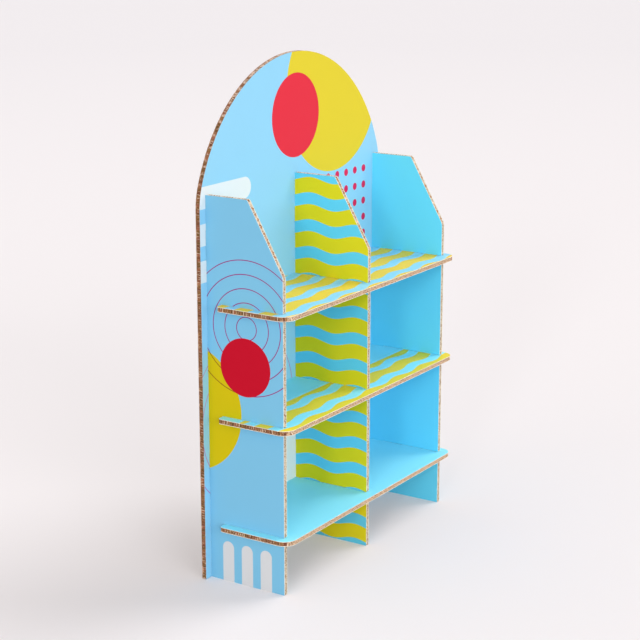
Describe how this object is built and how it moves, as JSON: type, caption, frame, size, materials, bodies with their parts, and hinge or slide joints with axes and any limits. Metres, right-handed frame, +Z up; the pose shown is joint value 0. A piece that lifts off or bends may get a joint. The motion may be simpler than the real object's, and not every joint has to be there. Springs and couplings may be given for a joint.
{
  "type": "slotted cardboard display stand",
  "caption": "Free-standing shop display stand of slotted printed board: arched back panel, side and centre uprights with sloped tops, and shelves with rounded wings that run past the sides.",
  "frame": {"origin": "on the floor, under the middle of the stand's width and depth", "axes": "+Z up, -Y towards the shopper, +X to the right as the shopper sees the stand"},
  "size_m": [0.884, 0.279, 1.37],
  "materials": {
    "panel_board": "matt printed paper faces on a brown paper core",
    "upright_board": "matt printed paper faces on a brown paper core",
    "shelf_board": "matt printed paper faces on a brown paper core"
  },
  "bodies": {
    "root": {"back_panel": "panel_board", "left_upright": "upright_board", "centre_upright": "upright_board", "right_upright": "upright_board", "lower_shelf": "shelf_board", "middle_shelf": "shelf_board", "upper_shelf": "shelf_board"}
  },
  "joints": []
}
